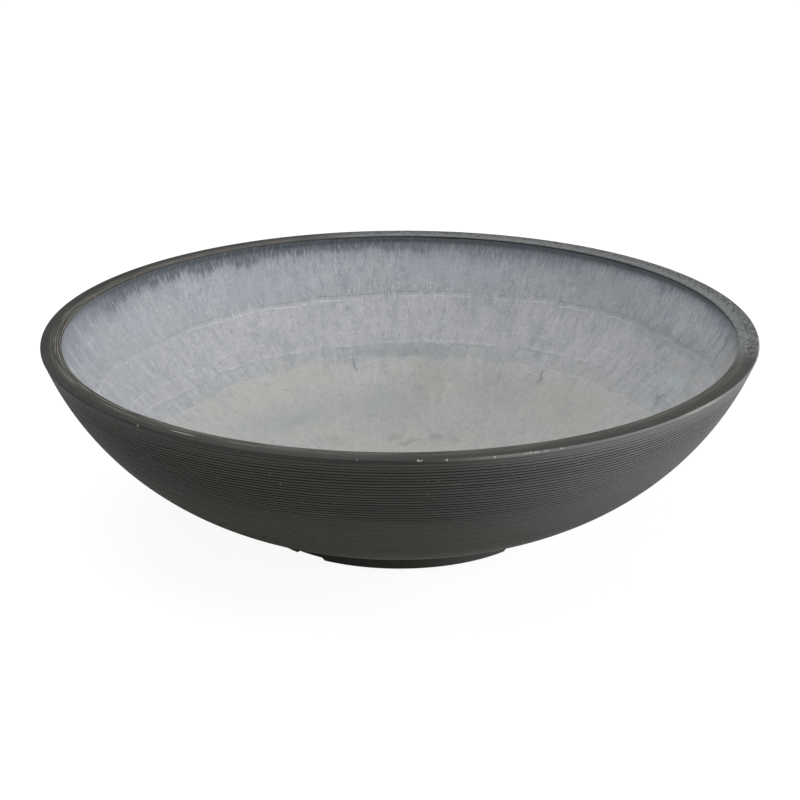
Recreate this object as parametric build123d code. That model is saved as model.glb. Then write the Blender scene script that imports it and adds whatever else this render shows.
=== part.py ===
from build123d import *
from math import asin, atan2, ceil, cos, radians, sin, sqrt
import os

# A wide, shallow bowl planter on a low foot ring: one moulded shell of filled plastic,
# and the rubber plug of its drain hole. Millimetres, +Z up, base centre at the origin.

# Overall form of the bowl
rim_diameter = 560.0
height = 153.0
wall = 10.0
floor_diameter = 138.0       # flat middle of the floor, where the curved wall starts
floor_lift = 8.3             # underside of the floor above the ground
wall_bands = 5               # straight steps in the curve of the plain lower wall
inner_bands = 6              # straight steps in the curve of the inside

# Rim
rim_land = 16.5              # width of the flat top
rim_chamfer = 0.8
lip_face = 2.5               # upright face at the land's inner edge
lip_slope = 45.0             # degrees, how the lip's underside runs back to the wall

# Turned grooves around the outside
rim_band = 4.6               # plain band between the rim's top and the first groove
groove_pitch = 5.26          # upright, every second one of the real grooves
groove_depth = 0.7
groove_zone = 63.0           # height of the grooved band

# Foot ring
foot_diameter = 228.0        # outside, at the ground
foot_width = 12.0
foot_draft = 3.0             # degrees
notch_width = 24.0
notch_depth = 2.0
notch_count = 4
notch_start = 51.5           # degrees from +X to the first notch

# Drain hole and its plug
drain_diameter = 25.0
plug_clearance = 0.3         # radial
plug_reach = 3.0             # how far the stem stands out under the floor
plug_wall = 4.5              # rubber left around the hollow in the stem
plug_roof = 3.0              # rubber left above that hollow
flange_diameter = 40.0
flange_thickness = 4.0
grip_width = 22.0
grip_height = 15.0           # above the flange
grip_thickness = 5.0
grip_bead = 8.0              # diameter of the rounded top

# Worked out from the sizes above
rim_radius = rim_diameter / 2
floor_radius = floor_diameter / 2
foot_radius = foot_diameter / 2
drain_radius = drain_diameter / 2
lip_radius = rim_radius - rim_land
floor_top = floor_lift + wall

# The wall is one arc in section, from the edge of the flat floor, where it is level,
# up to the chamfer of the rim
wall_run = rim_radius - floor_radius
wall_rise = height - rim_chamfer - floor_lift
arc_radius = (wall_run**2 + wall_rise**2) / (2 * wall_rise)
arc_centre_z = floor_lift + arc_radius
floor_angle = radians(-90)


def wall_point(angle, depth=0.0):
    """Point of the wall's section at an angle on its arc, sunk in square by depth."""
    reach = arc_radius - depth
    return (floor_radius + reach * cos(angle), arc_centre_z + reach * sin(angle))


def wall_angle(z):
    """Angle on the arc where the outer face of the wall passes height z."""
    return asin((z - arc_centre_z) / arc_radius)


def wall_curve(start, end, steps, depth=0.0):
    """Points along the arc from one angle to another, depth below the outer face."""
    return [wall_point(start + (end - start) * i / steps, depth) for i in range(steps + 1)]


def wall_middle(r):
    """Height of the middle of the shell's thickness at radius r."""
    run = max(r - floor_radius, 0)
    return arc_centre_z - sqrt((arc_radius - wall / 2) ** 2 - run**2)


def groove_points():
    """Grooved part of the outline from the bottom up: each groove is a short ledge
    cut square into the wall, and a long flank that runs out again below it."""
    top = height - rim_band
    count = ceil(groove_zone / groove_pitch)
    points = [wall_point(wall_angle(top - count * groove_pitch))]
    for step in reversed(range(count)):
        angle = wall_angle(top - step * groove_pitch)
        points += [wall_point(angle, groove_depth), wall_point(angle)]
    return points


def lip_end_angle():
    """Angle on the arc where the lip's sloping underside meets the inner face."""
    slope = radians(lip_slope)
    start_r = lip_radius - floor_radius
    start_z = height - lip_face - arc_centre_z
    inner_radius = arc_radius - wall
    toward = start_r * cos(slope) - start_z * sin(slope)
    length = sqrt(toward**2 + inner_radius**2 - start_r**2 - start_z**2) - toward
    return atan2(start_z - length * sin(slope), start_r + length * cos(slope))


def shell_section():
    """Half section of the bowl's shell, from the drain hole out to the rim and back."""
    grooves = groove_points()
    grooves_end = wall_angle(grooves[0][1])
    outline = [(drain_radius, floor_top), (drain_radius, floor_lift)]
    outline += wall_curve(floor_angle, grooves_end, wall_bands)[:-1] + grooves
    outline += [(rim_radius, height - rim_chamfer), (rim_radius - rim_chamfer, height)]
    outline += [(lip_radius, height), (lip_radius, height - lip_face)]
    outline += wall_curve(lip_end_angle(), floor_angle, inner_bands, wall)
    return make_face(Plane.XZ * Polyline(*outline, close=True))


def foot_section():
    """Half section of the foot ring, running up into the middle of the shell."""
    inner_r = foot_radius - foot_width
    top_z = wall_middle(foot_radius)
    outline = [
        (inner_r, 0),
        (foot_radius, 0),
        (foot_radius + top_z * sin(radians(foot_draft)), top_z),
        (inner_r, wall_middle(inner_r)),
    ]
    return make_face(Plane.XZ * Polyline(*outline, close=True))


def foot_notches():
    """The shallow drain gaps across the bottom of the foot ring."""
    ring_middle = foot_radius - foot_width / 2
    cutter = Box(foot_width * 2, notch_width, notch_depth * 2)
    return [place * cutter for place in PolarLocations(ring_middle, notch_count, notch_start)]


def bowl():
    """The moulded shell: rim, grooved wall, floor with drain hole, and foot ring."""
    shell = revolve(shell_section(), Axis.Z)
    foot = revolve(foot_section(), Axis.Z)
    return shell + foot - foot_notches()


def plug_section():
    """Half section of the plug's flange and hollow stem."""
    stem_radius = drain_radius - plug_clearance
    stem_bottom = floor_lift - plug_reach
    hollow_radius = stem_radius - plug_wall
    flange_radius = flange_diameter / 2
    flange_top = floor_top + flange_thickness
    hollow_top = flange_top - plug_roof
    outline = [
        (0, hollow_top),
        (hollow_radius, hollow_top),
        (hollow_radius, stem_bottom),
        (stem_radius, stem_bottom),
        (stem_radius, floor_top),
        (flange_radius, floor_top),
        (flange_radius, flange_top),
        (0, flange_top),
    ]
    return make_face(Plane.XZ * Polyline(*outline, close=True))


def plug_grip():
    """Upright grip on the flange, with a rounded bead along its top."""
    flange_top = floor_top + flange_thickness
    bead_z = flange_top + grip_height - grip_bead / 2
    web_height = bead_z - flange_top
    web = Pos(0, 0, flange_top + web_height / 2) * Box(grip_width, grip_thickness, web_height)
    bead = Pos(0, 0, bead_z) * Rot(0, 90, 0) * Cylinder(grip_bead / 2, grip_width)
    return web + bead


def drain_plug():
    """The rubber plug: its flange lies on the floor and its stem hangs in the hole."""
    return revolve(plug_section(), Axis.Z) + plug_grip()


os.makedirs("parts", exist_ok=True)
export_step(bowl(), "parts/bowl.step")
export_step(drain_plug(), "parts/drain_plug.step")
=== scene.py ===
import math
import random

import bmesh
import bpy
from mathutils import Matrix


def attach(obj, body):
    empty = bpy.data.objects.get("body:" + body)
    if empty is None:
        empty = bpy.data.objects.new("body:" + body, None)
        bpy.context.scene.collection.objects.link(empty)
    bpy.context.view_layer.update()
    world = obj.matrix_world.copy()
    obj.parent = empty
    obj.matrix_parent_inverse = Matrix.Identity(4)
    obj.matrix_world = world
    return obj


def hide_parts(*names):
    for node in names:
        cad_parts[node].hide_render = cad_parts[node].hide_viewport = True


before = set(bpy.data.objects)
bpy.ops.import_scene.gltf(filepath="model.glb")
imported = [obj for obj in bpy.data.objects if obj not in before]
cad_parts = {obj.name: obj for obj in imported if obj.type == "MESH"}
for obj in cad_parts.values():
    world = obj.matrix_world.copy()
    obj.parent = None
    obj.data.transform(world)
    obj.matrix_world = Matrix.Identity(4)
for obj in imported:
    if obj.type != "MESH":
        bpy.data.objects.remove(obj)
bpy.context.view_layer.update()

# The camera stands in front of the bowl and a little above it, with a long lens, as in the
# photograph. The picture is 800 by 800 pixels, and the bowl's axis is close to its middle.
picture_width = 800
focal_length = 2858.7        # pixels
camera_place = (0.0, -2.124, 0.8645)
camera_dip = 19.886          # degrees below level
camera_roll = -0.177         # degrees
camera = bpy.data.objects.new("photo_camera", bpy.data.cameras.new("photo_camera"))
camera.data.sensor_width = 36.0
camera.data.lens = 36.0 * focal_length / picture_width
camera.matrix_world = (
    Matrix.Translation(camera_place)
    @ Matrix.Rotation(math.radians(90.0 - camera_dip), 4, "X")
    @ Matrix.Rotation(math.radians(camera_roll), 4, "Z")
)
bpy.context.scene.collection.objects.link(camera)
bpy.context.scene.camera = camera
bpy.context.scene.view_settings.view_transform = "Standard"


# The bowl: one thick shell, moulded in plastic filled with stone powder. It has a flat rim
# with a small lip inside, fine grooves turned round the outside, a plain lower wall and a
# low foot ring with four drain notches. It is the piece that everything else stands in.
mm = 0.001
rim_radius = 280.0           # all sizes of the bowl are in millimetres
rim_top = 153.0
rim_edge = 1.3               # radius of the rim's outer edge
lip_radius = 263.5
lip_face = 0.7               # upright face of the lip, before the wax that hangs from it
lip_edge = 0.5
lip_under = 6.4              # below the rim's top, where the lip's slope meets the inner wall
floor_radius = 69.0
floor_under = 8.3
wall = 10.0
floor_top = floor_under + wall
wall_arc = 226.64            # the wall's section is one arc, outside and inside
inner_arc = wall_arc - wall
arc_height = floor_under + wall_arc
drain_radius = 12.5
drain_edge = 0.6
foot_inside = 102.0
foot_outside = 114.0
foot_flare = 0.6             # how much wider the foot is where it meets the wall
foot_edge = 0.8
notch_angles = [51.5, 141.5, 231.5, 321.5]   # degrees from +X
notch_half = 6.4             # degrees either side
notch_height = 2.0
groove_pitch = 2.63
groove_first = 3.6           # below the rim's top
groove_count = 42
groove_width = 1.3
groove_depth = 1.0
groove_full = 19             # number of grooves before they grow faint
groove_faint = 0.45          # share of the depth left in the lowest grooves
columns = 256                # steps of the mesh round the bowl
plain_steps = 16             # and along the plain lower wall
edge_steps = 5               # round the rim's outer edge
inner_steps = 40             # and down the inside


def arc_angle(height, reach):
    """Angle at which the wall's arc, with radius reach, passes a height."""
    return math.asin((height - arc_height) / reach)


def arc_point(angle, reach):
    """Point at an angle on the wall's arc, with radius reach."""
    return (floor_radius + reach * math.cos(angle), arc_height + reach * math.sin(angle))


def wall_spot(height, sunk=0.0):
    """Point of the wall's section at a height on its outer face, sunk in square by sunk."""
    return arc_point(arc_angle(height, wall_arc), wall_arc - sunk)


def wall_height(radius):
    """Height of the wall's outer face at a radius."""
    return arc_height - math.sqrt(wall_arc**2 - max(radius - floor_radius, 0) ** 2)


def groove_waver(turn, number):
    """How far one turned groove strays up or down, and how deep it is, round the bowl.
    The first few under the rim are shallow, and the lowest are faint and then run out."""
    stray = 0.10 * math.sin(2 * turn + 1.7 * number)
    stray += 0.07 * math.sin(7 * turn + 2.3 * number * number)
    deep = 0.85 + 0.25 * math.sin(3 * turn + 0.9 * number) * math.sin(1.3 * number + 1)
    fade = 1.0 - (1.0 - groove_faint) * min(1.0, max(0.0, (number - groove_full) / 4))
    fade *= min(1.0, 0.3 + 0.1 * number) * min(1.0, (groove_count - number) / 5)
    return stray, deep * fade * groove_depth


# Each drip of wax has its place round the lip and its width, in radians, and its length.
wax_side = 0.6               # radians from +X to where the wax hangs thickest
drips = random.Random(7)
lip_drips = [
    (drips.uniform(0, 2 * math.pi), drips.uniform(0.012, 0.04), drips.uniform(0.2, 1.3))
    for _ in range(46)
]


def lip_drip(turn):
    """How far the wax on the lip hangs down at one place round the bowl."""
    thick = max(0.0, math.cos(turn - wax_side))
    hang = 1.3 * thick
    for place, width, length in lip_drips:
        apart = (turn - place + math.pi) % (2 * math.pi) - math.pi
        hang += (0.2 + 0.3 * thick) * length * math.exp(-(apart / width) ** 2)
    return hang


def bowl_section(turn):
    """The bowl's closed section at one place round it: radius, height, groove depth and
    whether the face after the point is inside."""
    degrees = math.degrees(turn)
    notched = any(abs((degrees - a + 180) % 360 - 180) < notch_half for a in notch_angles)
    foot_bottom = notch_height if notched else 0.0
    underside = [(drain_radius, floor_under + 0.4), (drain_radius + 0.4, floor_under)]
    underside += [(r, wall_height(r)) for r in (30.0, 50.0, floor_radius, 80.0, 92.0)]
    foot_root = wall_height(foot_inside)
    foot_out = foot_outside + foot_flare
    foot_top = wall_height(foot_out)
    foot = [
        (foot_inside - 1.2, foot_root - 0.1), (foot_inside, foot_root - 1.2),
        (foot_inside, foot_bottom + foot_edge), (foot_inside + foot_edge, foot_bottom),
        (foot_outside - foot_edge, foot_bottom), (foot_outside, foot_bottom + foot_edge),
        (foot_outside + foot_flare * 0.9, foot_top - 1.6), (foot_out + 0.4, foot_top - 0.4),
    ]
    plain_start = arc_angle(wall_height(foot_out + 2.0), wall_arc)
    plain_end = arc_angle(rim_top - groove_first - groove_count * groove_pitch, wall_arc)
    outline = [(r, z, 0.0, False) for r, z in underside + foot]
    for step in range(plain_steps):
        angle = plain_start + (plain_end - plain_start) * step / plain_steps
        outline.append((*arc_point(angle, wall_arc), 0.0, False))
    for number in reversed(range(groove_count)):
        stray, deep = groove_waver(turn, number)
        middle = rim_top - groove_first - number * groove_pitch + stray
        outline.append((*wall_spot(middle - groove_width / 2), 0.0, False))
        outline.append((*wall_spot(middle, deep), deep / groove_depth, False))
        outline.append((*wall_spot(middle + groove_width / 2), 0.0, False))
    for step in range(edge_steps + 1):
        angle = math.radians(90 * step / edge_steps)
        r = rim_radius - rim_edge * (1 - math.cos(angle))
        outline.append((r, rim_top - rim_edge * (1 - math.sin(angle)), 0.0, False))
    outline += [(r, rim_top, 0.0, False) for r in (275.0, 271.5, 268.0, lip_radius + lip_edge)]
    lip_bottom = rim_top - lip_face - lip_drip(turn)
    outline += [(lip_radius, z, 0.0, False) for z in (rim_top - lip_edge, lip_bottom + 0.4)]
    outline.append((lip_radius + 0.4, lip_bottom, 0.0, True))
    lip_end = arc_angle(rim_top - lip_under, inner_arc)
    floor_edge = -math.pi / 2
    for step in range(inner_steps + 1):
        angle = lip_end + (floor_edge - lip_end) * step / inner_steps
        outline.append((*arc_point(angle, inner_arc), 0.0, True))
    floor = [(r, floor_top) for r in (54.0, 38.0, 24.0, drain_radius + drain_edge)]
    floor.append((drain_radius, floor_top - drain_edge))
    return outline + [(r, z, 0.0, True) for r, z in floor]


def turned_mesh(name, section):
    """Mesh of a closed section carried round the axis. The section may change as it goes."""
    body = bmesh.new()
    depth = body.verts.layers.float.new("groove")
    rings = []
    for column in range(columns):
        turn = 2 * math.pi * column / columns
        ring = []
        for r, z, deep, inside in section(turn):
            vert = body.verts.new((r * math.cos(turn) * mm, r * math.sin(turn) * mm, z * mm))
            vert[depth] = deep
            ring.append((vert, inside))
        rings.append(ring)
    rows = len(rings[0])
    for column in range(columns):
        here, there = rings[column], rings[(column + 1) % columns]
        for row in range(rows):
            nxt = (row + 1) % rows
            face = body.faces.new((here[row][0], there[row][0], there[nxt][0], here[nxt][0]))
            face.material_index = 1 if here[row][1] else 0
            face.smooth = True
    bmesh.ops.recalc_face_normals(body, faces=body.faces)
    mesh = bpy.data.meshes.new(name)
    body.to_mesh(mesh)
    body.free()
    mesh.set_sharp_from_angle(angle=math.radians(32))
    made = bpy.data.objects.new(name, mesh)
    bpy.context.scene.collection.objects.link(made)
    return made


def linear(hex_colour):
    """The linear colour of an sRGB hex value."""
    parts = [int(hex_colour[i:i + 2], 16) / 255 for i in (1, 3, 5)]
    return (*(p / 12.92 if p <= 0.04045 else ((p + 0.055) / 1.055) ** 2.4 for p in parts), 1.0)


def add(tree, kind, plugs=(), stops=(), **settings):
    """Adds a node: plugs are values or links for its inputs, stops are a ramp's places and
    colours, and the rest are its settings."""
    made = tree.nodes.new("ShaderNode" + kind)
    for name, value in settings.items():
        setattr(made, name, value)
    for number, (place, colour) in enumerate(stops):
        ramp = made.color_ramp.elements
        stop = ramp[number] if number < 2 else ramp.new(place)
        stop.position, stop.color = place, linear(colour)
    for key, value in plugs.items() if isinstance(plugs, dict) else enumerate(plugs):
        if isinstance(value, bpy.types.Node):
            value = value.outputs[0]
        if isinstance(value, bpy.types.NodeSocket):
            tree.links.new(value, made.inputs[key])
        else:
            made.inputs[key].default_value = value
    return made


def new_material(name):
    """A material whose node tree is still empty, and that tree."""
    made = bpy.data.materials.new(name)
    made.use_nodes = True
    made.node_tree.nodes.clear()
    return made, made.node_tree


def painted(tree, skin, coats):
    """Lays coats over a base colour, one after another. Each has a mask and a colour."""
    for mask, colour in coats:
        skin = add(tree, "Mix", {0: mask, 6: skin, 7: linear(colour)}, data_type="RGBA").outputs[2]
    return skin


def bowl_places(tree):
    """Where a point lies on the bowl, in millimetres: its place, its distance from the axis,
    its height, its direction from the axis, and its run up the inside from the floor's edge."""
    spot = add(tree, "TexCoord").outputs["Object"]
    place = add(tree, "VectorMath", {0: spot, "Scale": 1 / mm}, operation="SCALE")
    level = add(tree, "VectorMath", [place, (1.0, 1.0, 0.0)], operation="MULTIPLY")
    out = add(tree, "VectorMath", [level], operation="LENGTH").outputs["Value"]
    toward = add(tree, "VectorMath", [level], operation="NORMALIZE")
    height = add(tree, "SeparateXYZ", [place]).outputs["Z"]
    beyond = add(tree, "Math", [out, floor_radius], operation="SUBTRACT")
    below = add(tree, "Math", [arc_height, height], operation="SUBTRACT")
    angle = add(tree, "Math", [beyond, below], operation="ARCTAN2")
    run = add(tree, "Math", [angle, inner_arc], operation="MULTIPLY")
    side = add(tree, "SeparateXYZ", [toward])
    return {"place": place, "out": out, "height": height, "toward": toward, "run": run,
            "right": side.outputs["X"], "back": side.outputs["Y"]}


grain_radius = 250.0         # where a grain's width round the bowl is true


def grain(tree, toward, along, width, length, seed, detail=3.0, rough=0.5):
    """Noise drawn out along the bowl's wall: each grain is width mm round the bowl and
    length mm the other way."""
    around = add(tree, "VectorMath", {0: toward, "Scale": grain_radius / width}, operation="SCALE")
    rise = add(tree, "Math", [along, 1.0 / length], operation="MULTIPLY")
    lift = add(tree, "CombineXYZ", {"Z": rise})
    at = add(tree, "VectorMath", [around, lift], operation="ADD")
    return add(tree, "TexNoise", {
        "Vector": at, "W": seed, "Scale": 1.0, "Detail": detail, "Roughness": rough,
    }, noise_dimensions="4D")


def between(tree, value, low, high, bottom=0.0, top=1.0):
    """Eases from bottom to top as a value goes from low to high."""
    return add(tree, "MapRange", [value, low, high, bottom, top], interpolation_type="SMOOTHSTEP")


# The outside is a dark wax rubbed over the grey moulding. It gives the eye a soft satin sheen, dark lines
# in the grooves, of dust and painted shade, and a rim with a painted sheen at the back and right and a
# painted highlight along its right edge.
shell, tree = new_material("Filled plastic, moulded, turned and waxed dark")
at = bowl_places(tree)


def both(one, two):
    """Where two masks hold at once."""
    return add(tree, "Math", [one, two], operation="MULTIPLY")


# The wax over the wall is cloudy and shows the lathe's lines. The plain lower wall is paler, partly its
# own tone and partly painted light from the floor, and the band just above the foot has a painted sheen.
# The wall is paler towards the right with painted light, the band under the rim's edge there has a painted
# highlight, and the foot keeps a plain dark colour.
climb = add(tree, "Math", [at["out"], at["height"]], operation="ADD")
groove = add(tree, "Attribute", attribute_name="groove").outputs["Fac"]
clouds = grain(tree, at["toward"], climb, 60.0, 35.0, 1.0, 4.0)
turning = grain(tree, at["toward"], climb, 70.0, 1.3, 2.0, 3.0)
# Painted floor light on the plain lower wall, and a painted sheen on the band just above the foot.
plain_wall = between(tree, at["height"], 92.0, 66.0, 0.0, 0.6)
under_wall = between(tree, at["height"], 42.0, 26.0, 0.0, 0.7)
painted_sheen_above_foot = between(tree, at["height"], 33.0, 22.5, 0.0, 0.9)
foot_ring = between(tree, at["out"], 115.4, 115.0)
# Painted light on the right side of the wall, and a painted highlight on the band under the rim's edge
# there.
right_light_height = between(tree, at["height"], 60.0, 100.0, 0.5, 1.0)
right_painted_light = both(between(tree, at["right"], 0.0, 0.65, 0.0, 0.75), right_light_height)
edge_right_light = between(tree, at["right"], 0.1, 0.7, 0.0, 0.5)
under_edge_highlight = both(between(tree, at["out"], 274.0, 276.5), edge_right_light)
# The groove coat at the end darkens each groove by its depth, as dust and painted shade.
coats = [
    (between(tree, clouds, 0.35, 0.65, 0.0, 0.5), "#42423d"),
    (between(tree, turning, 0.42, 0.72, 0.0, 0.35), "#54544f"),
    (plain_wall, "#504f47"), (under_wall, "#7c796e"), (painted_sheen_above_foot, "#d0cbb9"), (foot_ring, "#3a3a37"),
    (right_painted_light, "#646568"), (under_edge_highlight, "#6e6f70"), (between(tree, groove, 0.02, 0.5), "#070706"),
]

# The rim's flat land is darker, with a mottle under a painted sheen at the back and right, and fine turned
# rings near the lip, drawn pale as painted glints.
on_land = between(tree, at["height"], 152.6, 152.95)
land_inner = both(on_land, between(tree, at["out"], 274.5, 267.5, 0.0, 0.55))
land_edge = both(on_land, between(tree, at["out"], 276.8, 278.4))
land_outer = both(land_edge, between(tree, at["back"], 0.0, 0.4, 0.0, 0.6))
back_right = add(tree, "Math", [at["right"], at["back"]], operation="ADD")
mottle_noise = grain(tree, at["toward"], climb, 3.6, 2.0, 5.0, 5.0, 0.75)
back_right_sheen = both(on_land, between(tree, back_right, 0.62, 0.9))
land_painted_sheen = both(back_right_sheen, between(tree, at["out"], 271.5, 269.5, 0.0, 0.5))
land_mottle_and_sheen = both(back_right_sheen, between(tree, mottle_noise, 0.40, 0.62, 0.0, 0.8))
ring_pitch = 1.9
ring_wave = add(tree, "Math", [at["out"], 2 * math.pi / ring_pitch], operation="MULTIPLY")
ring_sine = add(tree, "Math", [ring_wave], operation="SINE")
ring_noise = grain(tree, at["toward"], at["out"], 40.0, ring_pitch, 9.0, 3.0)
ring_line = both(between(tree, ring_sine, 0.3, 0.95), between(tree, at["out"], 273.5, 270.0))
ring_broken = both(both(ring_line, on_land), between(tree, ring_noise, 0.40, 0.62, 0.0, 0.9))
# The rings are real; their pale colour is a painted glint, strongest on the left.
land_ring_glints = both(ring_broken, between(tree, at["right"], 0.2, -0.8, 0.45, 1.0))

# The rim's outer edge has a painted highlight on the right, broken here and there, and painted shade on
# the left.
# The lip's face is darkened, as dark wax and painted shade, and a few pale flecks of the filler lie all
# over.
corner_band = both(between(tree, at["out"], 278.2, 278.9), between(tree, at["height"], 149.6, 150.4))
edge_painted_shade = both(corner_band, between(tree, at["right"], 0.3, 0.0, 0.0, 0.75))
edge = both(between(tree, at["out"], 278.4, 279.4), between(tree, at["height"], 150.4, 151.2))
highlight_breaks = grain(tree, at["toward"], climb, 90.0, 90.0, 21.0, 3.0)
# A painted highlight along the rim's edge on the right, broken here and there.
edge_side = both(edge, between(tree, at["right"], 0.0, 0.45, 0.05, 1.0))
edge_painted_highlight = both(edge_side, between(tree, highlight_breaks, 0.42, 0.64, 0.1, 0.8))
chip_noise = grain(tree, at["toward"], climb, 3.0, 3.0, 17.0, 2.0, 0.6)
edge_chips = both(edge, between(tree, chip_noise, 0.70, 0.76, 0.0, 0.9))
fleck_noise = grain(tree, at["toward"], climb, 1.7, 1.2, 14.0, 0.0)
flecks = between(tree, fleck_noise, 0.80, 0.84, 0.0, 0.5)
# The lip's face is darkened, as dark wax and painted shade.
lip_high = both(between(tree, at["height"], 135.0, 140.0), between(tree, at["height"], 152.6, 152.2))
lip_wax_and_shade = both(lip_high, between(tree, at["out"], 264.0, 263.7, 0.0, 0.65))
coats += [
    (edge_painted_shade, "#23231f"), (between(tree, on_land, 0.0, 1.0, 0.0, 0.95), "#1c1b16"),
    (land_inner, "#3b3932"), (land_painted_sheen, "#646866"), (land_mottle_and_sheen, "#7d8285"),
    (land_outer, "#282927"), (land_ring_glints, "#9b988d"), (edge_painted_highlight, "#8a8a85"),
    (edge_chips, "#bdbdb8"), (flecks, "#a4a4a0"), (lip_wax_and_shade, "#12120f"),
]

# Knocks along the rim show the paler moulding under the wax: degrees from +X, distance from
# the axis, and half the length of the knock. Their outlines are ragged by about a millimetre.
jitter = add(tree, "TexNoise", {"Vector": at["place"], "Scale": 0.9, "Detail": 3.0})
jolt = add(tree, "VectorMath", {0: jitter.outputs["Color"], 1: (0.5, 0.5, 0.5)}, operation="SUBTRACT")
ragged_by = add(tree, "VectorMath", {0: jolt, "Scale": 3.0}, operation="SCALE")
rough_place = add(tree, "VectorMath", [ragged_by, at["place"]], operation="ADD")
for degrees, radius, half in [
    (-96.2, 279.6, 0.8), (-87.4, 279.6, 1.1), (-87.0, 279.6, 0.9), (-83.4, 279.6, 0.9),
    (-76.4, 279.6, 0.9), (-71.9, 279.6, 0.9), (-71.5, 279.6, 0.8), (-71.1, 279.6, 0.9),
    (-70.7, 279.6, 0.7), (-70.3, 279.6, 0.8), (-69.9, 279.6, 0.7), (-68.7, 279.6, 0.7),
    (-68.3, 279.6, 0.8), (-66.3, 279.6, 0.9), (-65.9, 279.6, 0.8), (-132.1, 279.6, 0.9),
    (146.3, 264.5, 1.0), (159.8, 264.5, 1.0), (-112.0, 272.0, 0.8),
]:
    angle = math.radians(degrees)
    spot = (radius * math.cos(angle), radius * math.sin(angle), rim_top - 0.6)
    near = add(tree, "VectorMath", [rough_place, spot], operation="DISTANCE").outputs["Value"]
    coats.append((between(tree, near, half, half * 0.4, 0.0, 0.9), "#b9b8b2"))

# One long scratch lies along the flat land, at the front left.
scratch_angle = math.radians(-124.5)
scratch_radius = 272.8
scratch_at = (math.cos(scratch_angle), math.sin(scratch_angle), 0.0)
scratch_near = add(tree, "VectorMath", [at["toward"], scratch_at], operation="DISTANCE").outputs["Value"]
scratch_off = add(tree, "Math", [at["out"], scratch_radius], operation="SUBTRACT")
scratch_off = add(tree, "Math", [scratch_off], operation="ABSOLUTE")
scratch_long = both(on_land, between(tree, scratch_near, 0.05, 0.02))
scratch = both(scratch_long, between(tree, scratch_off, 0.8, 0.2, 0.0, 0.8))
coats.append((scratch, "#b3b1a9"))

skin = painted(tree, linear("#393935"), coats)
fine = grain(tree, at["toward"], climb, 1.2, 0.8, 20.0, 2.0)
relief = add(tree, "Bump", {"Strength": 0.25, "Distance": 0.0002, "Height": fine})
dusty = between(tree, groove, 0.0, 0.5, 0.0, 0.4)
polish = add(tree, "Math", [between(tree, clouds, 0.3, 0.7, 0.48, 0.58), dusty], operation="ADD")
rubbed_off = both(on_land, between(tree, at["right"], -0.3, -0.8))
sheen = between(tree, rubbed_off, 0.0, 1.0, 0.38, 0.25)
wax = add(tree, "BsdfPrincipled", {
    "Base Color": skin, "Roughness": polish, "IOR": 1.45, "Specular IOR Level": sheen, "Normal": relief,
})
add(tree, "OutputMaterial", [wax])

# The inside is the bare moulding, wiped down with a brush before it dried. It gives the
# eye a chalky blue-grey with fine strokes up the wall, tide marks and beige stains below.
# The strokes are about 1.5 mm wide, coarser than the brush's own, so that they show.
bare, tree = new_material("Filled plastic, moulded and brushed, bare")
at = bowl_places(tree)

# The tide is the run up the wall, a little aslant and wandering. It carries the colours of
# the tide marks, in millimetres up the wall.
slant = add(tree, "Math", [at["right"], -7.0], operation="MULTIPLY")
wander = grain(tree, at["toward"], at["run"], 90.0, 900.0, 3.0, 4.0, 0.6)
sway = between(tree, wander, 0.2, 0.8, -4.5, 4.5)
tilted = add(tree, "Math", [at["run"], slant], operation="ADD")
tide = add(tree, "Math", [tilted, sway], operation="ADD")
tide_low = -70.0
tide_high = 260.0
share = add(tree, "MapRange", [tide, tide_low, tide_high])
tide_marks = [
    (-70.0, "#b3b3af"), (30.0, "#b3b3af"), (60.0, "#abaca9"), (100.0, "#afb0ae"), (139.0, "#b4b4b3"),
    (142.0, "#a9abad"), (154.0, "#aaacae"), (158.0, "#b0b1b3"), (198.0, "#b1b2b4"), (202.5, "#adaeb1"),
    (204.5, "#a0a3a7"), (213.0, "#a3a5aa"), (218.0, "#a6a8ae"), (240.0, "#a3a6ad"), (255.0, "#999da4"),
]
tide_stops = [((s - tide_low) / (tide_high - tide_low), c) for s, c in tide_marks]
tide_skin = add(tree, "ValToRGB", [share], stops=tide_stops)

# The brush leaves fine strokes and scratches up the wall above the floor's stains, with
# patches, blots and a few dark specks all over.
strokes = grain(tree, at["toward"], at["run"], 1.5, 10.0, 4.0, 2.0, 0.6)
scratches = grain(tree, at["toward"], at["run"], 1.3, 7.0, 8.0, 1.0, 0.5)
sweeps = grain(tree, at["toward"], at["run"], 9.0, 30.0, 19.0, 4.0, 0.65)
crossing = grain(tree, at["toward"], at["run"], 32.0, 0.9, 10.0, 2.0)
patches = grain(tree, at["toward"], at["run"], 50.0, 30.0, 6.0, 4.0, 0.6)
blue_patches = grain(tree, at["toward"], at["run"], 30.0, 26.0, 11.0, 4.0, 0.6)
blots = grain(tree, at["toward"], at["run"], 9.0, 7.0, 13.0, 5.0, 0.7)
mottle = grain(tree, at["toward"], at["run"], 2.6, 2.2, 22.0, 3.0, 0.6)
streaks = grain(tree, at["toward"], at["run"], 2.6, 26.0, 25.0, 3.0, 0.6)
specks = grain(tree, at["toward"], at["run"], 2.4, 3.0, 12.0, 0.0)
upper = between(tree, at["run"], 90.0, 215.0, 0.3, 1.0)
lower = between(tree, at["run"], 165.0, 125.0)
middle = between(tree, at["run"], 80.0, 150.0, 0.15, 1.0)
# High on the far left, the inner wall is darkened with painted shade.
left_painted_shade = both(between(tree, at["right"], -0.68, -0.92, 0.0, 0.3), upper)
brushed = both(upper, between(tree, patches, 0.35, 0.6, 1.0, 0.45))
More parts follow.
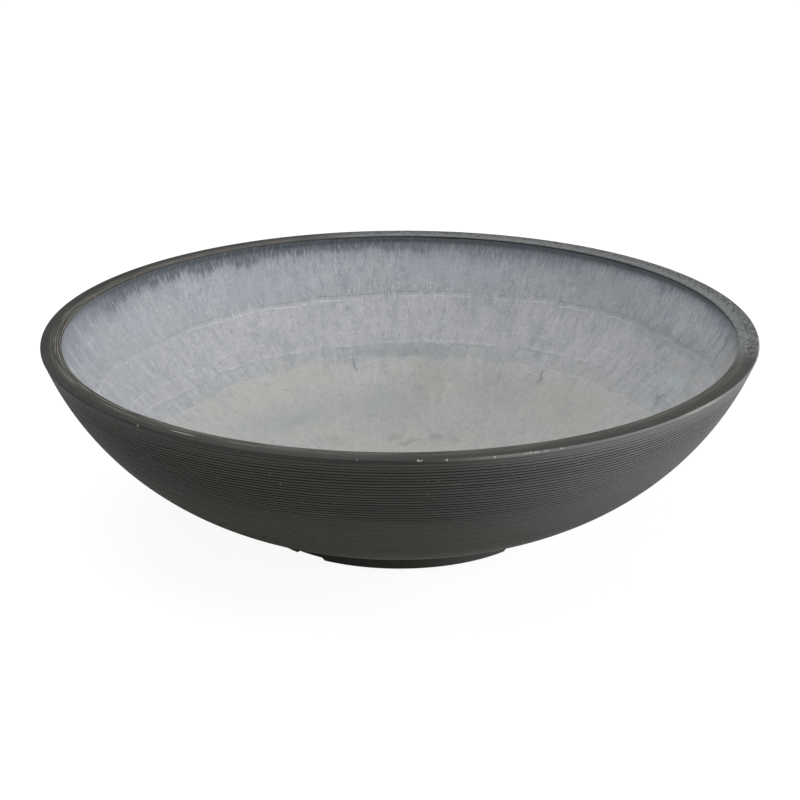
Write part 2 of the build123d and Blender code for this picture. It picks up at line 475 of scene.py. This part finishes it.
coats = [
    (left_painted_shade, "#84888d"), (both(between(tree, patches, 0.42, 0.62, 0.0, 0.45), lower), "#b6b4ac"),
    (both(between(tree, blue_patches, 0.5, 0.68, 0.0, 0.5), upper), "#969da8"),
    (between(tree, blots, 0.5, 0.68, 0.0, 0.45), "#909392"),
    (between(tree, blots, 0.5, 0.32, 0.0, 0.4), "#bebfbd"),
    (both(between(tree, streaks, 0.58, 0.72, 0.0, 0.5), lower), "#969895"),
    (both(between(tree, streaks, 0.42, 0.28, 0.0, 0.5), lower), "#c2c2bf"),
    (both(between(tree, sweeps, 0.5, 0.66, 0.0, 0.35), middle), "#8e9195"),
    (both(between(tree, sweeps, 0.5, 0.36, 0.0, 0.35), middle), "#bfc0c3"),
    (between(tree, mottle, 0.55, 0.68, 0.0, 0.42), "#888b8c"),
    (between(tree, mottle, 0.45, 0.32, 0.0, 0.42), "#c3c4c4"),
    (both(between(tree, strokes, 0.56, 0.68, 0.0, 0.65), brushed), "#767b84"),
    (both(between(tree, scratches, 0.58, 0.70, 0.0, 0.8), brushed), "#c9cace"),
    (both(between(tree, crossing, 0.62, 0.74, 0.0, 0.5), middle), "#bec1c2"),
]

# Lines along the tide marks, broken here and there: millimetres up the wall, half width,
# colour and strength.
breaks = grain(tree, at["toward"], at["run"], 24.0, 30.0, 15.0, 6.0, 0.85)
kept = between(tree, breaks, 0.44, 0.56)
for place, half, colour, strength in [
    (200.5, 0.9, "#cecfd1", 0.85), (170.0, 0.7, "#c8cacb", 0.65), (158.0, 0.8, "#c6c8c9", 0.65),
    (140.5, 0.9, "#c2c2bf", 0.75), (204.5, 1.0, "#7c8085", 0.5), (155.0, 1.0, "#85898b", 0.45),
    (178.0, 0.6, "#999ca0", 0.4), (121.0, 0.8, "#c0c0bc", 0.4), (104.0, 0.7, "#9a9c99", 0.35),
]:
    off = add(tree, "Math", [tide, place], operation="SUBTRACT")
    off = add(tree, "Math", [off], operation="ABSOLUTE")
    coats.append((both(between(tree, off, half, 0.0, 0.0, strength), kept), colour))

# Stains and rubbed places, with ragged outlines: degrees from the back towards the right,
# millimetres up the wall, half width and half height, colour and strength.
turn = add(tree, "Math", [at["right"], at["back"]], operation="ARCTAN2")
along = add(tree, "Math", [turn, grain_radius], operation="MULTIPLY")
flat_place = add(tree, "CombineXYZ", [along, at["run"], 0.0])
shake = add(tree, "TexNoise", {"Vector": at["place"], "Scale": 0.09, "Detail": 4.0})
shift = add(tree, "VectorMath", {0: shake.outputs["Color"], 1: (0.5, 0.5, 0.5)}, operation="SUBTRACT")
shaken_by = add(tree, "VectorMath", {0: shift, "Scale": 26.0}, operation="SCALE")
shaken = add(tree, "VectorMath", [shaken_by, flat_place], operation="ADD")
for degrees, run, half_wide, half_high, colour, strength in [
    (-42, 119, 75, 18, "#b3b1a8", 0.6), (-24, 130, 50, 12, "#b0afa8", 0.5),
    (-36, 86, 110, 20, "#a0a5a3", 0.5), (-4, 88, 75, 28, "#9ba09f", 0.45),
    (8, 116, 36, 34, "#9f9c95", 0.45), (0, 32, 130, 16, "#aeaca4", 0.5),
    (27, 116, 58, 34, "#9ca09e", 0.45), (52, 118, 90, 40, "#a7a59e", 0.45),
    (2, 148, 80, 8, "#8c9395", 0.5), (9, 157, 16, 3, "#c0c9cd", 0.5),
    (74.8, 181, 16, 9, "#b8c4ca", 0.7), (74.5, 163, 14, 5, "#7a8082", 0.65),
    (37, 136, 4, 9, "#7c807e", 0.65), (-11.2, 134, 2.5, 9, "#747877", 0.7),
    (-13.5, 100, 6, 34, "#b2b2ad", 0.4), (-80, 220, 6, 14, "#868c91", 0.5),
    (62, 208, 130, 10, "#868d91", 0.45), (45, 228, 90, 16, "#8f9697", 0.45),
    (12, 225, 50, 14, "#a4a9b3", 0.5), (-28, 218, 60, 18, "#9ba2ad", 0.45),
    (2, 33, 12, 5, "#85837c", 0.4), (-62, 205, 120, 30, "#aeb0b5", 0.4),
    (-3, 44, 18, 6, "#878882", 0.4), (5.5, 37, 26, 6, "#84857f", 0.45),
    (15.5, 46, 20, 8, "#8b8c87", 0.45), (24, 45, 18, 6, "#898a85", 0.4),
    (-26, 45, 30, 9, "#969894", 0.35), (13.5, 108, 3, 26, "#bebeb8", 0.5),
    (10, 96, 5, 22, "#bcbcb7", 0.45), (17.5, 140, 4, 14, "#bbbbb6", 0.4),
    (26, 130, 3, 12, "#8a8e8d", 0.4), (-34, 84, 40, 8, "#8f9493", 0.35),
    (-52, 128, 10, 22, "#9ea2a4", 0.4), (-20, 168, 6, 18, "#999da1", 0.4),
    (31, 172, 8, 20, "#92979a", 0.4), (16, 196, 6, 22, "#8e939c", 0.45),
    (78, 190, 120, 60, "#868b8a", 0.22), (84, 232, 4, 16, "#6c716f", 0.6),
    (80, 236, 3, 12, "#70757a", 0.6), (90, 236, 18, 26, "#98988d", 0.6),
]:
    centre = (math.radians(degrees) * grain_radius, float(run), 0.0)
    away = add(tree, "VectorMath", [shaken, centre], operation="SUBTRACT")
    sizes = (1.0 / half_wide, 1.0 / half_high, 0.0)
    sized = add(tree, "VectorMath", [away, sizes], operation="MULTIPLY")
    far = add(tree, "VectorMath", [sized], operation="LENGTH").outputs["Value"]
    coats.append((between(tree, far, 1.3, 0.1, 0.0, strength), colour))
coats.append((between(tree, specks, 0.80, 0.83, 0.0, 0.6), "#636667"))

# The dark wax laps over the lip and runs out below it in a ragged, streaky edge. The band is partly
# painted shade under the lip, and darkest, with painted shade, just under it.
ragged = grain(tree, at["toward"], at["run"], 2.2, 30.0, 16.0, 5.0, 0.75)
lap = grain(tree, at["toward"], at["run"], 60.0, 900.0, 18.0, 3.0)
thin_lap = grain(tree, at["toward"], at["run"], 14.0, 900.0, 24.0, 3.0)
wax_run = at["run"]
for shift in [
    between(tree, ragged, 0.3, 0.7, -3.5, 3.5), between(tree, lap, 0.36, 0.6, -6.0, 3.0),
    between(tree, thin_lap, 0.3, 0.7, -2.5, 2.5),
]:
    wax_run = add(tree, "Math", [wax_run, shift], operation="ADD")
wax_start = between(tree, at["right"], -1.0, 0.2, 239.0, 243.5)
wax_and_shade_up = add(tree, "Math", [wax_run, wax_start], operation="SUBTRACT")
wax_there = both(between(tree, at["right"], -0.99, -0.86), between(tree, scratches, 0.62, 0.48, 0.45, 1.0))
wax_deep = between(tree, at["right"], -0.2, 0.3, 0.85, 0.35)
wax_streaks = between(tree, strokes, 0.35, 0.6, 0.35, 1.0)
coats += [
    (both(between(tree, wax_and_shade_up, -14.0, 2.0, 0.0, 0.5), wax_streaks), "#7c8189"),
    (both(both(between(tree, wax_and_shade_up, -3.0, 3.0), wax_there), wax_deep), "#5f656c"),
    # Painted shade just under the lip.
    (between(tree, at["run"], 246.0, 251.5, 0.0, 0.4), "#4f5459"),
]
skin = painted(tree, tide_skin, coats)
relief = add(tree, "Bump", {"Strength": 0.35, "Distance": 0.0003, "Height": strokes})
chalk = add(tree, "BsdfPrincipled", {"Base Color": skin, "Roughness": 0.75, "IOR": 1.45, "Normal": relief})
add(tree, "OutputMaterial", [chalk])

bowl = turned_mesh("bowl_shell_moulding", bowl_section)
bowl.data.materials.append(shell)
bowl.data.materials.append(bare)
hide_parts("bowl")
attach(bowl, "bowl_body")


# The drain plug: one soft rubber moulding that lies in the floor's hole by its flange. Its
# hollow stem hangs through the hole, and it is pulled out by the rounded grip on top.
stem_radius = 12.2
stem_bottom = 5.3
stem_hollow = 7.7
hollow_roof = 19.3
pinhole = 0.4                # left along the axis, so that the section can be carried round
plug_seat = floor_top
flange_radius = 20.0
flange_top = 22.3
plug_top = 37.3
grip_half = 11.0
grip_thick = 2.5
bead_radius = 4.0


def plug_section(turn):
    """The plug's section, from the hollow's roof down the stem, out and back to the axis."""
    outline = [
        (pinhole, hollow_roof), (stem_hollow - 1, hollow_roof), (stem_hollow, hollow_roof - 1),
        (stem_hollow, stem_bottom + 0.5), (stem_hollow + 0.5, stem_bottom),
        (stem_radius - 1.2, stem_bottom), (stem_radius - 0.3, stem_bottom + 0.6),
        (stem_radius, stem_bottom + 2.2), (stem_radius, plug_seat),
        (flange_radius - 0.6, plug_seat), (flange_radius, plug_seat + 0.6),
        (flange_radius, flange_top - 1.4), (flange_radius - 0.35, flange_top - 0.5),
        (flange_radius - 1.3, flange_top - 0.1), (flange_radius - 2.2, flange_top),
        (9.0, flange_top), (pinhole, flange_top),
    ]
    return [(r, z, 0.0, False) for r, z in outline]


plug = turned_mesh("drain_plug_rubber", plug_section)

# The grip's section across its thickness: a round bead on top, and a root that spreads into
# the flange. It is carried along the grip, drawn in a little at each end.
bead_middle = plug_top - bead_radius
section = []
for degrees in range(-50, 231, 20):
    angle = math.radians(degrees)
    section.append((bead_radius * math.cos(angle), bead_middle + bead_radius * math.sin(angle)))
root = [
    (-grip_thick, flange_top + 4.2), (-grip_thick - 0.4, flange_top + 1.9),
    (-grip_thick - 1.8, flange_top + 0.3), (-grip_thick - 2.2, flange_top - 0.7),
]
section += root + [(-y, z) for y, z in reversed(root)]
grip = bmesh.new()
grip.from_mesh(plug.data)
loops = []
for x, inset in [(-grip_half, 1.4), (-grip_half + 0.3, 0.7), (-grip_half + 1.2, 0.0),
                 (grip_half - 1.2, 0.0), (grip_half - 0.3, 0.7), (grip_half, 1.4)]:
    keep = 1 - inset / bead_radius
    loop = []
    for y, z in section:
        top = bead_middle + (z - bead_middle) * (keep if z > bead_middle else 1)
        loop.append(grip.verts.new((x * mm, y * keep * mm, top * mm)))
    loops.append(loop)
for one, two in zip(loops, loops[1:]):
    for step in range(len(section)):
        nxt = (step + 1) % len(section)
        grip.faces.new((one[step], one[nxt], two[nxt], two[step])).smooth = True
grip.faces.new(loops[0])
grip.faces.new(loops[-1])
bmesh.ops.recalc_face_normals(grip, faces=grip.faces)
grip.to_mesh(plug.data)
grip.free()
plug.data.set_sharp_from_angle(angle=math.radians(40))

# Moulded rubber is near black with a dull bloom. Its skin has a very fine grain, drawn here
# at about half a millimetre, coarser than the real one, so that it shows.
rubber, tree = new_material("Rubber, moulded")
spot = add(tree, "TexCoord").outputs["Object"]
dull = add(tree, "TexNoise", {"Vector": spot, "Scale": 160.0, "Detail": 4.0})
skin = painted(tree, linear("#232322"), [(between(tree, dull, 0.4, 0.7, 0.0, 0.5), "#3d3d3b")])
pebble = add(tree, "TexNoise", {"Vector": spot, "Scale": 1800.0, "Detail": 2.0})
relief = add(tree, "Bump", {"Strength": 0.2, "Distance": 0.0001, "Height": pebble})
body = add(tree, "BsdfPrincipled", {"Base Color": skin, "Roughness": 0.68, "IOR": 1.52, "Normal": relief})
add(tree, "OutputMaterial", [body])
plug.data.materials.append(rubber)
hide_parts("drain_plug")
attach(plug, "plug_body")


# The floor is a sheet of white paper. What the camera sees of it is white apart from the bowl's soft
# shadow and a painted shadow inside the foot ring, which shows through the drain hole. The bowl itself is
# lit by it as by pale paper.
paper, tree = new_material("White paper, matt")
seen = add(tree, "LightPath").outputs["Is Camera Ray"]
sheet = add(tree, "BsdfDiffuse", {"Color": linear("#e4e4e2")})
veil = add(tree, "BsdfDiffuse", {"Color": linear("#7a7a7a")})
spot = add(tree, "TexCoord").outputs["Object"]
from_axis = add(tree, "VectorMath", [spot], operation="LENGTH").outputs["Value"]
glow_with_painted_shadow = between(tree, from_axis, (foot_inside - 8.0) * mm, foot_inside * mm, 0.08, 0.92)
glow = add(tree, "Emission", {"Color": linear("#ffffff"), "Strength": glow_with_painted_shadow})
lit = add(tree, "AddShader", [veil, glow])
add(tree, "OutputMaterial", [add(tree, "MixShader", [seen, sheet, lit])])
floor_mesh = bpy.data.meshes.new("floor")
reach = 4.0                  # metres
gap = 0.0001                 # keeps the sheet just clear of the foot
corners = [(x * reach, y * reach, -gap) for x, y in [(-1, -1), (1, -1), (1, 1), (-1, 1)]]
floor_mesh.from_pydata(corners, [], [(0, 1, 2, 3)])
floor = bpy.data.objects.new("floor", floor_mesh)
floor.data.materials.append(paper)
bpy.context.scene.collection.objects.link(floor)

# The room: a white backdrop that the camera and the wax's gloss see behind the bowl, and
# an even grey light from all round.
world = bpy.data.worlds.new("studio")
bpy.context.scene.world = world
world.use_nodes = True
tree = world.node_tree
tree.nodes.clear()
path = add(tree, "LightPath")
direction = add(tree, "TexCoord").outputs["Generated"]
ahead = add(tree, "SeparateXYZ", [direction])
backdrop = between(tree, ahead.outputs["Y"], 0.2, 0.9, 0.0, 0.65)
gloss = add(tree, "Math", [path.outputs["Is Glossy Ray"], backdrop], operation="MULTIPLY")
white = add(tree, "Math", [path.outputs["Is Camera Ray"], gloss], operation="MAXIMUM")
white = add(tree, "Math", [white, path.outputs["Is Transmission Ray"]], operation="MAXIMUM")
room_grey = (0.32, 0.32, 0.33, 1.0)
room = add(tree, "Mix", {0: white, 6: room_grey, 7: (1.0, 1.0, 1.0, 1.0)}, data_type="RGBA")
around = add(tree, "Background", [room.outputs[2], 1.0])
add(tree, "OutputWorld", [around])

# Three softboxes: the main one stands to the right, the wide one hangs over the bowl, and
# a weak one lies low in front. Each has its place, its side in metres and its watts.
for name, place, size, power in [
    ("softbox_right", (2.0, -0.35, 0.6), 1.1, 29.0),
    ("softbox_above", (-0.4, 0.0, 2.2), 2.0, 31.0),
    ("softbox_low", (0.7, -2.0, 0.25), 1.0, 7.0),
]:
    lamp = bpy.data.lights.new(name, "AREA")
    lamp.shape = "SQUARE"
    lamp.size = size
    lamp.energy = power
    softbox = bpy.data.objects.new(name, lamp)
    softbox.location = place
    aim = -softbox.location
    softbox.rotation_euler = aim.to_track_quat("-Z", "Y").to_euler()
    bpy.context.scene.collection.objects.link(softbox)
